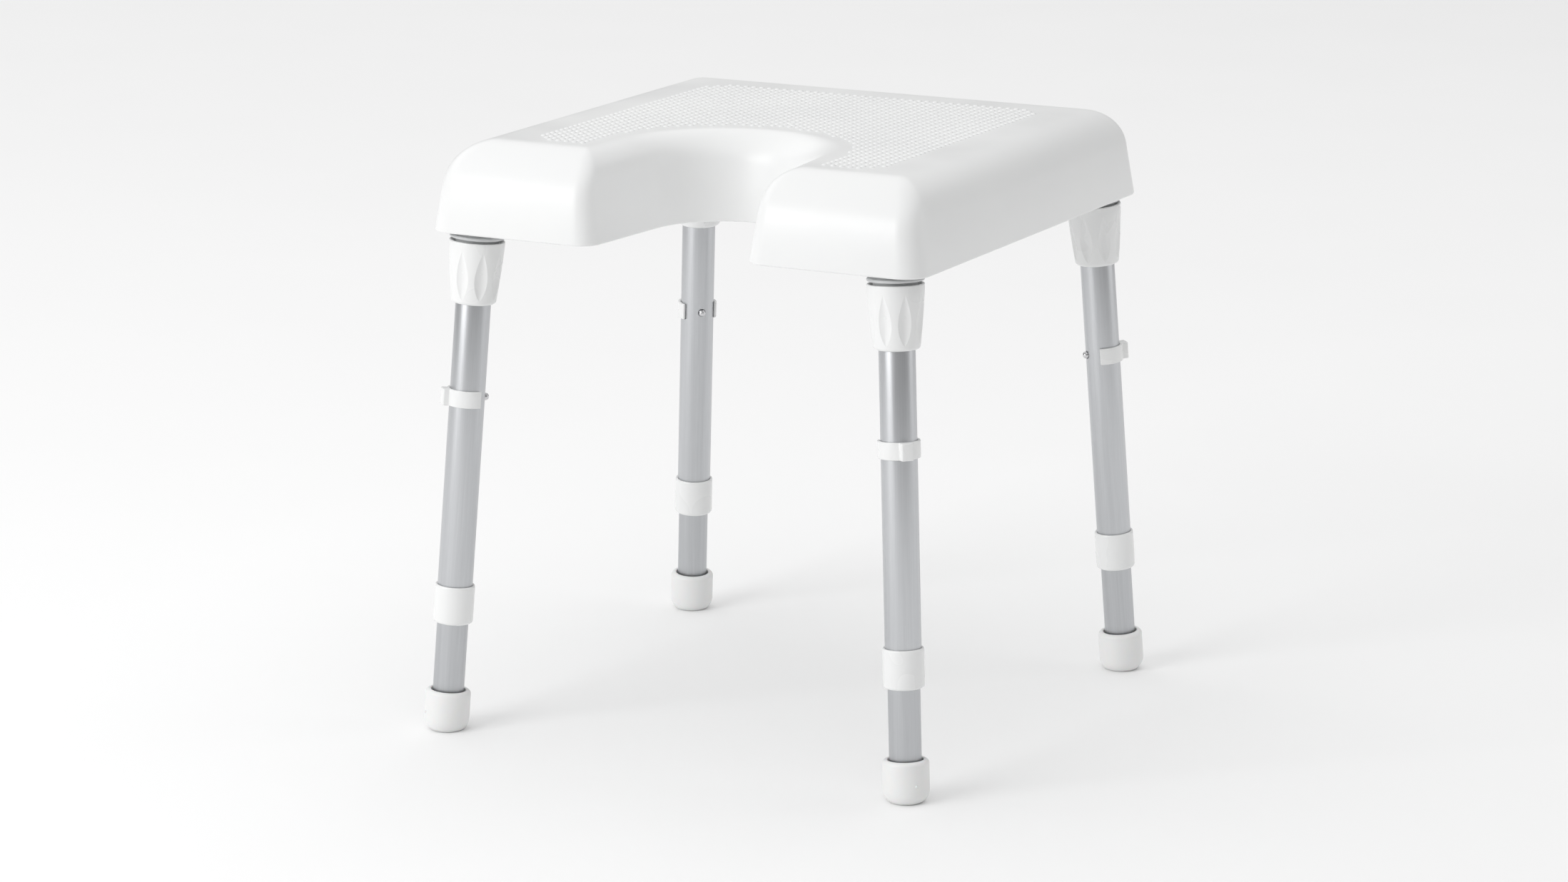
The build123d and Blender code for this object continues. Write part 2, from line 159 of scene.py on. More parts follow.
seat_white = moulded_plastic(
    "seat_white_polypropylene", pale=(0.86, 0.865, 0.86), dim=(0.84, 0.845, 0.845),
    gloss=0.28, rough=0.38, peel=0.20, clouds=9.0,
)

# ---------------------------------------------------------------------------
# Seat shell: one white moulding, open below, whose drafted walls roll into
# the top, with a cut-out at the front. Ribs stiffen the top from below, and
# four bosses take the leg sockets.
# ---------------------------------------------------------------------------
seat_low, seat_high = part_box("seat_shell")
rim_z = seat_low[2]
top_z = seat_high[2]
seat_height = top_z - rim_z
half_width = seat_high[0]
half_depth = 209 * MM
draft = radians(8)
side_round = 34 * MM
front_round = 45 * MM
back_round = 29 * MM
cut_round = 28 * MM
cut_radius = 59 * MM
cut_centre_y = -118 * MM
cut_flare = radians(5)
corner_radius = 20 * MM
horn_radius = 17 * MM
least_radius = 2.5 * MM
corner_shrink = 0.45
wall = 4 * MM
lip_round = 1.6 * MM
lip_steps = 5
roll_steps = 22
corner_steps = 10
arc_steps = 56


def wall_inset(height, rounding):
    """How far a drafted, top-rounded wall has come in at a height above the rim."""
    centre_height = seat_height - rounding
    if height <= centre_height + rounding * sin(draft):
        return height * tan(draft)
    centre_inset = centre_height * tan(draft) + rounding / cos(draft)
    return centre_inset - sqrt(max(rounding**2 - (height - centre_height) ** 2, 0))


def plan_sizes(height, inwards):
    """Side, front and back of the seat and the cut-out's radius at one height."""
    side = half_width - wall_inset(height, side_round) - inwards
    front = -half_depth + wall_inset(height, front_round) + inwards
    back = half_depth - wall_inset(height, back_round) - inwards
    cut = cut_radius + wall_inset(height, cut_round) + inwards
    return side, front, back, cut


def arc_corner(before, corner, after, radius, steps):
    """Points of a round corner between two straight runs."""
    a = (Vector(before[:2]) - Vector(corner[:2])).normalized()
    b = (Vector(after[:2]) - Vector(corner[:2])).normalized()
    half = a.angle(b) / 2
    centre = Vector(corner[:2]) + (a + b).normalized() * radius / sin(half)
    start = Vector(corner[:2]) + a * radius / tan(half) - centre
    end = Vector(corner[:2]) + b * radius / tan(half) - centre
    first = atan2(start.y, start.x)
    turn = (atan2(end.y, end.x) - first + pi) % (2 * pi) - pi
    points = []
    for step in range(steps + 1):
        angle = first + turn * step / steps
        points.append((centre.x + radius * cos(angle), centre.y + radius * sin(angle)))
    return points


def seat_outline(height, inwards):
    """The seat's plan at one height above the rim, anticlockwise from above."""
    side, front, back, cut = plan_sizes(height, inwards)
    lost = half_width - side
    outer = max(corner_radius - corner_shrink * lost, least_radius)
    horn = max(horn_radius - corner_shrink * lost, least_radius)
    end_x = cut * cos(cut_flare)
    end_y = cut_centre_y + cut * sin(cut_flare)
    mouth = end_x + (end_y - front) * tan(cut_flare)
    corners = [
        ((mouth, front), horn),
        ((side, front), outer),
        ((side, back), outer),
        ((-side, back), outer),
        ((-side, front), outer),
        ((-mouth, front), horn),
    ]
    ring = [(end_x, end_y)] + [corner for corner, _ in corners] + [(-end_x, end_y)]
    points = []
    for number, (corner, radius) in enumerate(corners):
        points += arc_corner(ring[number], corner, ring[number + 2], radius, corner_steps)
    for step in range(arc_steps + 1):
        angle = pi - cut_flare - (pi - 2 * cut_flare) * step / arc_steps
        points.append((cut * cos(angle), cut_centre_y + cut * sin(angle)))
    return points


def level_ring(height, inwards, z):
    """The seat's plan at one height above the rim, drawn at a z of its own."""
    return [(x, y, z) for x, y in seat_outline(height, inwards)]


def seat_rings():
    """Rings of the shell, from the inside of the top, round the lip, to the top."""
    swings = [draft + (pi / 2 - draft) * step / roll_steps for step in range(roll_steps + 1)]
    heights = [seat_height - front_round * (1 - sin(swing)) for swing in swings]
    shrink = (seat_height - wall) / seat_height
    inside = [level_ring(h, wall, rim_z + h * shrink) for h in reversed(heights)]
    lip = []
    for step in range(lip_steps + 1):
        angle = pi / 2 * step / lip_steps
        inwards = wall - lip_round + lip_round * cos(angle)
        lip.append(level_ring(0, inwards, rim_z + lip_round * (1 - sin(angle))))
    for step in range(lip_steps + 1):
        angle = pi / 2 * step / lip_steps
        inwards = lip_round * (1 - sin(angle))
        lip.append(level_ring(0, inwards, rim_z + lip_round * (1 - cos(angle))))
    outside = [level_ring(h, 0, rim_z + h) for h in heights]
    return inside + lip + outside


def stitch(rings, capped=True):
    """Vertices and faces of rings joined in order, with flat ends if they are capped."""
    count = len(rings[0])
    verts = [point for ring in rings for point in ring]
    faces = []
    for level in range(len(rings) - 1):
        low = level * count
        for i in range(count):
            j = (i + 1) % count
            faces.append((low + i, low + j, low + count + j, low + count + i))
    if capped:
        faces.append(tuple(reversed(range(count))))
        faces.append(tuple(range(len(verts) - count, len(verts))))
    return verts, faces


def within_seat(x, y, z, inwards):
    """Whether a point is inside the seat's outer form, drawn in by a margin."""
    height = min(max(z - rim_z, 0), seat_height)
    side, front, back, cut = plan_sizes(height, inwards)
    end_y = cut_centre_y + cut * sin(cut_flare)
    if y > end_y:
        in_cut = x * x + (y - cut_centre_y) ** 2 < cut * cut
    else:
        in_cut = abs(x) < cut * cos(cut_flare) + (end_y - y) * tan(cut_flare)
    round_x = abs(x) - side + corner_radius
    round_y = max(front - y, y - back) + corner_radius
    past_corner = round_x > 0 and round_y > 0 and round_x**2 + round_y**2 > corner_radius**2
    return abs(x) < side and front < y < back and not in_cut and not past_corner


first_stride = 4 * MM
last_stride = 0.05 * MM


def reach(x, y, z, step_x, step_y):
    """Where a line from a point in the seat meets its wall, or the middle plane."""
    length, stride = 0.0, first_stride
    while stride > last_stride:
        ahead = length + stride
        crossed = x * (x + step_x * ahead) < 0
        if not crossed and within_seat(x + step_x * ahead, y + step_y * ahead, z, wall / 2):
            length = ahead
        else:
            stride /= 2
    return x + step_x * length, y + step_y * length


rib_thick = 3 * MM
rib_depth = 16 * MM
rib_pitch = 46 * MM
rib_levels = 7
outermost_rib = 3
horn_middle = 135 * MM
rear_middle = 100 * MM


def seat_rib(start, along):
    """One closed rib that follows the walls at both its ends."""
    low_z = top_z - wall - rib_depth
    across = Vector((-along[1], along[0])) * rib_thick / 2
    rings = []
    for level in range(rib_levels + 1):
        z = low_z + (rib_depth + wall / 2) * level / rib_levels
        ahead = Vector(reach(*start, z, *along))
        behind = Vector(reach(*start, z, -along[0], -along[1]))
        loop = [ahead - across, ahead + across, behind + across, behind - across]
        rings.append([(p.x, p.y, z) for p in loop])
    return stitch(rings)


cut_back = cut_centre_y + cut_radius + wall_inset(seat_height, cut_round)
rib_runs = []
for number in range(-outermost_rib, outermost_rib + 1):
    line = number * rib_pitch
    if line > cut_back:
        rib_runs.append(((0, line), (1, 0)))
    else:
        rib_runs += [((-horn_middle, line), (1, 0)), ((horn_middle, line), (1, 0))]
    rib_runs.append(((line, rear_middle), (0, 1)))


def leg_matrix(leg):
    """The leg's own frame: on the floor under the foot, Z up the tube, X outwards."""
    axes = {joint["name"]: Vector(joint["axis"]) for joint in frame["joints"]}
    soles = {mount["name"]: Vector(mount["pos_m"]) for mount in frame["record"]["mounts"]}
    up = -axes[f"{leg}_height"].normalized()
    out = axes[f"{leg}_clip_pull"].normalized()
    side = up.cross(out)
    turn = Matrix((out, side, up)).transposed().to_4x4()
    return Matrix.Translation(soles[f"{leg}_sole"]) @ turn


LEGS = ("front_left", "front_right", "rear_left", "rear_right")
boss_radius = 21.5 * MM
boss_bore = 17.85 * MM
boss_bottom = 407 * MM
boss_blind = 444.6 * MM
boss_top = 472 * MM
boss_pole = 0.1 * MM
boss_drop = 0.5 * MM
boss_steps = 8
boss_sides = 64


def seat_boss(leg):
    """One boss, bored from below, whose top stays inside the seat's walls."""
    to_leg = leg_matrix(leg)
    parts = [step / boss_steps for step in range(boss_steps + 1)]
    profile = [(boss_pole, boss_blind), (boss_bore, boss_blind), (boss_bore, boss_bottom)]
    profile += [(boss_radius, boss_bottom + (boss_top - boss_bottom) * part) for part in parts]
    profile += [(boss_radius * (1 - part) + boss_pole, boss_top) for part in parts[1:]]
    rings = []
    for radius, z in profile:
        ring = []
        for number in range(boss_sides):
            angle = 2 * pi * number / boss_sides
            x, y = radius * cos(angle), radius * sin(angle)
            level = z
            while not within_seat(*(to_leg @ Vector((x, y, level))), wall / 2):
                level -= boss_drop
            ring.append(tuple(to_leg @ Vector((x, y, level))))
        rings.append(ring)
    return stitch(rings)


def joined(shapes):
    """Several vertex and face lists as one."""
    verts, faces = [], []
    for more_verts, more_faces in shapes:
        base = len(verts)
        verts += more_verts
        faces += [tuple(base + corner for corner in face) for face in more_faces]
    return verts, faces


def new_piece(name, verts, faces, material, smooth_below=40):
    """A mesh object at the origin, smooth except at edges sharper than an angle."""
    mesh = bpy.data.meshes.new(name)
    mesh.from_pydata(verts, [], faces)
    mesh.materials.append(material)
    mesh.shade_smooth()
    mesh.set_sharp_from_angle(angle=radians(smooth_below))
    piece = bpy.data.objects.new(name, mesh)
    bpy.context.scene.collection.objects.link(piece)
    return piece


seat_parts = [stitch(seat_rings())]
seat_parts += [seat_rib(start, along) for start, along in rib_runs]
seat_parts += [seat_boss(leg) for leg in LEGS]
seat = new_piece("seat_moulding", *joined(seat_parts), seat_white)
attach(seat, "stool_frame")
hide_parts("seat_shell")

# ---------------------------------------------------------------------------
# Non-slip pips: low round domes moulded with the seat, in a square pattern
# that keeps a smooth border along the edges and round the cut-out.
# ---------------------------------------------------------------------------
pip_sizes = {
    "Pitch": 7.3 * MM,
    "Across": 42,
    "Deep": 42,
    "Pip Radius": 2.25 * MM,
    "Pip Height": 0.95 * MM,
    "Cut Radius": 101 * MM,
    "Cut Centre": cut_centre_y,
    "Cut Slope": tan(cut_flare),
    "Corner Reach": 288 * MM,
    "Seat Top": top_z,
}
pip_sides = 14
pip_rows = 8
pip_foot = -0.1  # lowest part of the unit ball that a pip keeps


def pip_tree():
    """Geometry nodes: a grid of points, thinned to the border, each with a dome."""
    tree = bpy.data.node_groups.new("non_slip_pips", "GeometryNodeTree")
    tree.interface.new_socket("Geometry", in_out="OUTPUT", socket_type="NodeSocketGeometry")
    for name, size in pip_sizes.items():
        kind = "NodeSocketInt" if isinstance(size, int) else "NodeSocketFloat"
        tree.interface.new_socket(name, in_out="INPUT", socket_type=kind)
    tree.interface.new_socket("Plastic", in_out="INPUT", socket_type="NodeSocketMaterial")
    entry = tree.nodes.new("NodeGroupInput")
    given = {out.name: Signal(tree, out) for out in entry.outputs}
    start = Signal(tree)
    grid = start.node("GeometryNodeMeshGrid", {}, {
        "Size X": given["Pitch"] * (given["Across"] - 1),
        "Size Y": given["Pitch"] * (given["Deep"] - 1),
        "Vertices X": given["Across"],
        "Vertices Y": given["Deep"],
    })
    spot = start.node("GeometryNodeInputPosition", {}, {})
    x = start.node("ShaderNodeSeparateXYZ", {}, {0: spot}, output=0)
    y = start.node("ShaderNodeSeparateXYZ", {}, {0: spot}, output=1)
    ahead = y - given["Cut Centre"]
    wide = x.maths("ABSOLUTE", x)
    from_centre = x * x + ahead * ahead
    in_round = from_centre < given["Cut Radius"] * given["Cut Radius"]
    in_slot = (wide < given["Cut Radius"] - ahead * given["Cut Slope"]) * (ahead < 0.0)
    in_corner = wide + y.maths("ABSOLUTE", y) > given["Corner Reach"]
    cleared = start.node("GeometryNodeDeleteGeometry", {"domain": "POINT"}, {
        "Geometry": grid,
        "Selection": in_round + in_slot + in_corner > 0.5,
    })
    ball = start.node("GeometryNodeMeshUVSphere", {}, {
        "Segments": pip_sides,
        "Rings": pip_rows,
        "Radius": 1.0,
    })
    height = start.node("ShaderNodeSeparateXYZ", {}, {0: spot}, output=2)
    dome = start.node("GeometryNodeDeleteGeometry", {"domain": "POINT"}, {
        "Geometry": ball,
        "Selection": height < pip_foot,
    })
    size = start.node("ShaderNodeCombineXYZ", {}, {
        "X": given["Pip Radius"],
        "Y": given["Pip Radius"],
        "Z": given["Pip Height"],
    })
    pips = start.node("GeometryNodeInstanceOnPoints", {}, {
        "Points": cleared,
        "Instance": dome,
        "Scale": size,
    })
    lift = start.node("ShaderNodeCombineXYZ", {}, {"Z": given["Seat Top"]})
    real = start.node("GeometryNodeRealizeInstances", {}, {"Geometry": pips})
    raised = start.node("GeometryNodeSetPosition", {}, {"Geometry": real, "Offset": lift})
    dressed = start.node("GeometryNodeSetMaterial", {}, {
        "Geometry": raised,
        "Material": given["Plastic"],
    })
    start.node("NodeGroupOutput", {}, {"Geometry": dressed})
    return tree


def grown(name, tree, sizes, material):
    """Runs a node tree once and keeps its result as a plain mesh object."""
    mesh = bpy.data.meshes.new(name)
    mesh.materials.append(material)
    piece = bpy.data.objects.new(name, mesh)
    bpy.context.scene.collection.objects.link(piece)
    maker = piece.modifiers.new(name, "NODES")
    maker.node_group = tree
    values = {**sizes, "Plastic": material}
    for item in tree.interface.items_tree:
        if item.in_out == "INPUT":
            maker[item.identifier] = values[item.name]
    return settled(piece)


def settled(piece):
    """Bakes a piece's modifiers into its mesh and removes them."""
    graph = bpy.context.evaluated_depsgraph_get()
    mesh = bpy.data.meshes.new_from_object(piece.evaluated_get(graph))
    piece.modifiers.clear()
    piece.data = mesh
    return piece


pips = grown("non_slip_pips", pip_tree(), pip_sizes, seat_white)
pips.data.shade_smooth()
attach(pips, "stool_frame")

# ---------------------------------------------------------------------------
# Gate mark: the small raised disc left in the middle of the seat's top where
# the plastic was injected and the sprue was cut away.
# ---------------------------------------------------------------------------
def round_off(corners, steps=6):
    """A closed profile of (radius, height, rounding) corners, with arcs."""
    points = []
    count = len(corners)
    for number, corner in enumerate(corners):
        if corner[2] == 0:
            points.append(corner[:2])
            continue
        before = corners[number - 1]
        after = corners[(number + 1) % count]
        points += arc_corner(before, corner, after, corner[2], steps)
    return points


def lathed(profile, sides):
    """Turns a closed profile round Z."""
    verts, faces = [], []
    for radius, height in profile:
        for number in range(sides):
            angle = 2 * pi * number / sides
            verts.append((radius * cos(angle), radius * sin(angle), height))
    rows = len(profile)
    for row in range(rows):
        low = row * sides
        high = (row + 1) % rows * sides
        for i in range(sides):
            j = (i + 1) % sides
            faces.append((low + i, low + j, high + j, high + i))
    return verts, faces


merge_within = 0.002 * MM


def tidied(verts, faces):
    """The same shape with its doubles merged and its faces turned outwards."""
    work = bmesh.new()
    made = [work.verts.new(vert) for vert in verts]
    for face in faces:
        work.faces.new([made[corner] for corner in face])
    bmesh.ops.remove_doubles(work, verts=work.verts, dist=merge_within)
    bmesh.ops.dissolve_degenerate(work, dist=merge_within, edges=work.edges)
    bmesh.ops.recalc_face_normals(work, faces=work.faces)
    work.verts.index_update()
    verts = [tuple(vert.co) for vert in work.verts]
    faces = [tuple(vert.index for vert in face.verts) for face in work.faces]
    work.free()
    return verts, faces


gate_foot = top_z - 0.5 * MM
gate_top = top_z + 1.0 * MM
gate_dish = top_z + 0.8 * MM
gate_sides = 24
gate_profile = round_off([
    (0, gate_foot, 0),
    (1.9 * MM, gate_foot, 0),
    (1.7 * MM, gate_top, 0.4 * MM),
    (0.6 * MM, gate_dish, 0.2 * MM),
    (0, gate_dish, 0),
])
gate_mark = new_piece("seat_gate_mark", *tidied(*lathed(gate_profile, gate_sides)), seat_white)
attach(gate_mark, "stool_frame")

# ---------------------------------------------------------------------------
# Clamp nuts: white hand nuts with eight lens-shaped flutes, a convex taper
# outside, and a cone inside that squeezes the grip ring onto the tube.
# ---------------------------------------------------------------------------
nut_white = moulded_plastic(
    "nut_white_plastic", pale=(0.86, 0.865, 0.86), dim=(0.835, 0.84, 0.84),
    gloss=0.24, rough=0.33, peel=0.16, clouds=14.0,
)
nut_bottom = 348.1 * MM
nut_height = 50 * MM
nut_bottom_radius = 17.7 * MM
nut_top_radius = 22 * MM
nut_bulge = 1.357
nut_heel = 2.6 * MM
nut_rim = 0.8 * MM
flute_count = 8
flute_start = 4 * MM
flute_end = 43.6 * MM
flute_half_width = 5.3 * MM
flute_depth = 2.1 * MM
flute_skew = 0.8
flute_hollow = 1.3  # above 1 the flute gets shallow sooner than it gets narrow
least_flute = 0.02 * MM
nut_rows = 56
flute_columns = (-1, -0.96, -0.88, -0.75, -0.55, -0.3, 0, 0.3, 0.55, 0.75, 0.88, 0.96, 1)
land_columns = (0.05, 0.2, 0.45, 0.7)
nut_inside = [  # mm: radius, and height above the nut's bottom, from the mouth down
    (20.4, 50.0), (19.9, 49.6), (18.9, 47.0), (18.7, 46.6), (18.7, 25.6), (18.5, 25.4),
    (16.6, 25.4), (16.55, 24.4), (15.75, 5.4), (15.7, 4.2), (14.5, 4.2), (14.4, 4.0),
    (14.4, 0.4), (14.8, 0.0),
]


def nut_radius(rise):
    """The nut's outer radius at a height above its bottom, without flutes."""
    taper = 1 - (1 - rise / nut_height) ** nut_bulge
    radius = nut_bottom_radius + (nut_top_radius - nut_bottom_radius) * taper
    if rise < nut_heel:
        radius -= nut_heel - sqrt(nut_heel**2 - (nut_heel - rise) ** 2)
    from_top = nut_height - rise
    if from_top < nut_rim:
        radius -= nut_rim - sqrt(nut_rim**2 - (nut_rim - from_top) ** 2)
    return radius


def flute_shape(rise):
    """How much of the flute's full width is open at a height, from 0 to 1."""
    part = (rise - flute_start) / (flute_end - flute_start)
    if not 0 < part < 1:
        return 0.0
    return sin(pi * part**flute_skew)


def nut_ring(rise):
    """One level of the fluted outside, with columns along the flutes' edges."""
    radius = nut_radius(rise)
    open_part = flute_shape(rise)
    half = max(flute_half_width * open_part, least_flute) / radius
    depth = flute_depth * open_part**flute_hollow
    sector = 2 * pi / flute_count
    land = sector / 2 - half
    columns = [(half * part, depth * (1 - part * part)) for part in flute_columns]
    columns += [(half + land * part, 0.0) for part in land_columns]
    columns += [(sector / 2, 0.0)]
    columns += [(sector - half - land * part, 0.0) for part in reversed(land_columns)]
    ring = []
    for flute in range(flute_count):
        for angle, dip in columns:
            turn = angle + flute * sector
            size = radius - dip
            ring.append((size * cos(turn), size * sin(turn), nut_bottom + rise))
    return ring


def nut_shape():
    """The whole nut: fluted outside, mouth, thread bore, cone and floor."""
    rises = []
    for row in range(nut_rows + 1):
        rises.append(nut_height * (1 - cos(pi * row / nut_rows)) / 2)
    rings = [nut_ring(rise) for rise in rises]
    for radius, rise in nut_inside:
        z = nut_bottom + rise * MM
        ring = []
        for x, y, _ in rings[0]:
            angle = atan2(y, x)
            ring.append((radius * MM * cos(angle), radius * MM * sin(angle), z))
        rings.append(ring)
    rings.append(rings[0])
    return tidied(*stitch(rings, capped=False))


pattern_shift = 0.8  # how much further on each leg's pieces read their patterns


def placed_on_leg(name, leg, shape, material, smooth_below=40):
    """A piece drawn in the leg's frame and moved to its leg, which keeps its old place."""
    verts, faces = shape
    to_leg = leg_matrix(leg)
    moved = [tuple(to_leg @ Vector(vert)) for vert in verts]
    piece = new_piece(f"{leg}_{name}", moved, faces, material, smooth_below)
    own = piece.data.attributes.new("leg_place", "FLOAT_VECTOR", "POINT")
    apart = LEGS.index(leg) * pattern_shift
    for point, vert in zip(own.data, verts):
        point.vector = (vert[0], vert[1], vert[2] + apart)
    return piece


nut_mesh = nut_shape()
for leg in LEGS:
    nut = placed_on_leg("hand_nut", leg, nut_mesh, nut_white)
    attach(nut, f"{leg}_nut")
    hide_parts(f"{leg}_clamp_nut")

# ---------------------------------------------------------------------------
# Leg sockets: grey glass-filled nylon, with a flange that shows under the
# seat and a threaded skirt that the nut runs on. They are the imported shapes.
# ---------------------------------------------------------------------------
def dress(node, material):
    """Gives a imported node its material."""
    frame["nodes"][node].material_slots[0].material = material


socket_grey = moulded_plastic(
    "socket_grey_nylon", pale=(0.62, 0.63, 0.635), dim=(0.56, 0.57, 0.575),
    gloss=0.34, rough=0.46, peel=0.20, clouds=60.0,
)
for leg in LEGS:
    dress(f"{leg}_leg_socket", socket_grey)

# ---------------------------------------------------------------------------
# Leg tubes: drawn aluminium, satin etched and clear anodised, with the fine
# lengthwise lines of the drawing die. The outer one has one cross hole for
# the pin, and the inner one a row of them.
# ---------------------------------------------------------------------------
def anodised_aluminium(name, pale, dim, smooth, rough):
    """Satin metal whose fine lines run along the tube."""
    material, start = new_material(name)
    place = start.node("ShaderNodeAttribute", {"attribute_name": "leg_place"}, {}, output=1)
    stretch = {0: place, 1: (1, 1, 0.012)}
    drawn = place.node("ShaderNodeVectorMath", {"operation": "MULTIPLY"}, stretch)
    lines = drawn.noise(1500.0, 3.0, 0.6)
    broad = drawn.noise(240.0, 2.0)
    etch = place.noise(2600.0, 2.0)
    tone = (lines * 0.6 + broad * 0.4).between(0.0, 1.0)
    surface(start, {
        "Base Color": tone.tint(dim, pale),
        "Roughness": (lines * 0.5 + etch * 0.5).between(smooth, rough),
        "Metallic": 1.0,
        "Normal": (lines * 0.7 + etch * 0.5).bump(0.22, 0.05 * MM),
    })
    return material


outer_silver = anodised_aluminium(
    "outer_tube_aluminium", pale=(0.62, 0.63, 0.645), dim=(0.53, 0.54, 0.555),
    smooth=0.30, rough=0.42,
)
inner_silver = anodised_aluminium(
    "inner_tube_aluminium", pale=(0.58, 0.59, 0.605), dim=(0.49, 0.50, 0.515),
    smooth=0.34, rough=0.46,
)
outer_radius = 14 * MM
outer_bore = 12.8 * MM
outer_end = 91.5 * MM
outer_top = 438 * MM
inner_radius = 12.5 * MM
inner_bore = 11 * MM
inner_end = 8 * MM
inner_top = 384 * MM
tube_edge = 0.3 * MM
tube_sides = 96
pin_level = 272.4 * MM
hole_pitch = 25 * MM
holes_below = 2
holes_above = 4
hole_radius = 3.35 * MM
drill_half = 30 * MM
drill_sides = 32


def laid_across(shape, level):
    """A lathed shape turned from Z to the leg's X, at a level up the leg."""
    verts, faces = shape
    return [(z, x, y + level) for x, y, z in verts], faces


def taken_apart(piece):
    """A finished piece's vertices and faces; the piece itself is removed."""
    verts = [tuple(vert.co) for vert in piece.data.vertices]
    faces = [tuple(face.vertices) for face in piece.data.polygons]
    bpy.data.objects.remove(piece)
    return verts, faces


def drilled(shape, levels):
    """A tube with a cross hole bored through both its walls at each level."""
    tube = new_piece("tube_blank", *shape, outer_silver)
    profile = [(0, -drill_half), (hole_radius, -drill_half)]
    profile += [(hole_radius, drill_half), (0, drill_half)]
    drill = tidied(*lathed(profile, drill_sides))
    drills = joined([laid_across(drill, level) for level in levels])
    cutter = new_piece("tube_drill", *drills, outer_silver)
    cut = tube.modifiers.new("cross_holes", "BOOLEAN")
    cut.operation = "DIFFERENCE"
    cut.solver = "EXACT"
    cut.object = cutter
    settled(tube)
    bpy.data.objects.remove(cutter)
    return taken_apart(tube)


def tube_shape(outer, bore, bottom, top):
    """A plain tube with slightly broken ends, before it is drilled."""
    profile = round_off([
        (outer, bottom, tube_edge),
        (outer, top, tube_edge),
        (bore, top, tube_edge),
        (bore, bottom, tube_edge),
    ], steps=2)
    return tidied(*lathed(profile, tube_sides))


outer_blank = tube_shape(outer_radius, outer_bore, outer_end, outer_top)
inner_blank = tube_shape(inner_radius, inner_bore, inner_end, inner_top)
hole_steps = range(-holes_below, holes_above + 1)
outer_mesh = drilled(outer_blank, [pin_level])
inner_mesh = drilled(inner_blank, [pin_level + hole_pitch * step for step in hole_steps])
for leg in LEGS:
    outer = placed_on_leg("upper_tube", leg, outer_mesh, outer_silver)
    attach(outer, "stool_frame")
    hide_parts(f"{leg}_outer_tube")
    inner = placed_on_leg("lower_tube", leg, inner_mesh, inner_silver)
    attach(inner, f"{leg}_lower_leg")
    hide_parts(f"{leg}_inner_tube")

# ---------------------------------------------------------------------------
# Guide sleeves: white plastic, pushed up over each outer tube's end until
# the inner lip stops them. The lip guides the inner tube.
# ---------------------------------------------------------------------------
sleeve_white = moulded_plastic(
    "sleeve_white_plastic", pale=(0.87, 0.875, 0.87), dim=(0.845, 0.85, 0.85),
    gloss=0.22, rough=0.31, peel=0.14, clouds=16.0,
)
sleeve_radius = 16 * MM
sleeve_end = 88.5 * MM
sleeve_top = 119.5 * MM
sleeve_bore = outer_radius + 0.08 * MM
sleeve_lip_bore = inner_radius + 0.12 * MM
sleeve_lip_top = outer_end + 0.1 * MM
sleeve_profile = round_off([
    (sleeve_radius, sleeve_end, 2.6 * MM),
    (sleeve_radius, sleeve_top - 1.1 * MM, 0.4 * MM),
    (sleeve_radius - 0.5 * MM, sleeve_top, 0.5 * MM),
    (sleeve_bore, sleeve_top, 0.25 * MM),
    (sleeve_bore, sleeve_lip_top, 0),
    (sleeve_lip_bore, sleeve_lip_top, 0),
    (sleeve_lip_bore, sleeve_end, 0.5 * MM),
])
sleeve_mesh = tidied(*lathed(sleeve_profile, tube_sides))
for leg in LEGS:
    sleeve = placed_on_leg("tube_sleeve", leg, sleeve_mesh, sleeve_white, smooth_below=50)
    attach(sleeve, "stool_frame")
    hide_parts(f"{leg}_guide_sleeve")

# ---------------------------------------------------------------------------
# Height clips: springy white rings, open towards the stool's middle, with a
# thick block outside that holds the pin. They snap round the outer tube.
# ---------------------------------------------------------------------------
clip_white = moulded_plastic(
    "clip_white_acetal", pale=(0.86, 0.865, 0.86), dim=(0.83, 0.835, 0.835),
    gloss=0.22, rough=0.31, peel=0.14, clouds=20.0,
)
clip_height = 13.5 * MM
clip_bore = 14.15 * MM
clip_radius = 16.5 * MM
clip_end = radians(119)
block_reach = 21 * MM
block_half = 5 * MM
block_round = 1.6 * MM
clip_edge = 0.7 * MM
clip_arc_steps = 40


def clip_outline():
    """The clip from above, anticlockwise: block, long arm, bore, long arm."""
    root = atan2(block_half, sqrt(clip_radius**2 - block_half**2))
    near_right, right = (clip_radius, -block_half), (block_reach, -block_half)
    left, near_left = (block_reach, block_half), (clip_radius, block_half)
    points = arc_corner(near_right, right, left, block_round, 6)
    points += arc_corner(right, left, near_left, block_round, 6)
    for step in range(clip_arc_steps + 1):
        angle = root + (clip_end - root) * step / clip_arc_steps
        points.append((clip_radius * cos(angle), clip_radius * sin(angle)))
    for step in range(2 * clip_arc_steps + 1):
        angle = clip_end - 2 * clip_end * step / (2 * clip_arc_steps)
        points.append((clip_bore * cos(angle), clip_bore * sin(angle)))
    for step in range(clip_arc_steps + 1):
        angle = -clip_end + (clip_end - root) * step / clip_arc_steps
        points.append((clip_radius * cos(angle), clip_radius * sin(angle)))
    return points


def clip_shape():
    """The clip's outline raised to its height, with its edges broken."""
    low = pin_level - clip_height / 2
    rings = [[(x, y, low) for x, y in clip_outline()]]
    rings.append([(x, y, low + clip_height) for x, y, _ in rings[0]])
    blank = new_piece("clip_blank", *stitch(rings), clip_white)
    edge = blank.modifiers.new("broken_edges", "BEVEL")
    edge.width = clip_edge
    edge.segments = 3
    edge.angle_limit = radians(50)
    edge.limit_method = "ANGLE"
    return taken_apart(settled(blank))


clip_mesh = clip_shape()
for leg in LEGS:
    clip = placed_on_leg("snap_clip", leg, clip_mesh, clip_white, smooth_below=45)
    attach(clip, f"{leg}_clip")
    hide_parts(f"{leg}_height_clip")

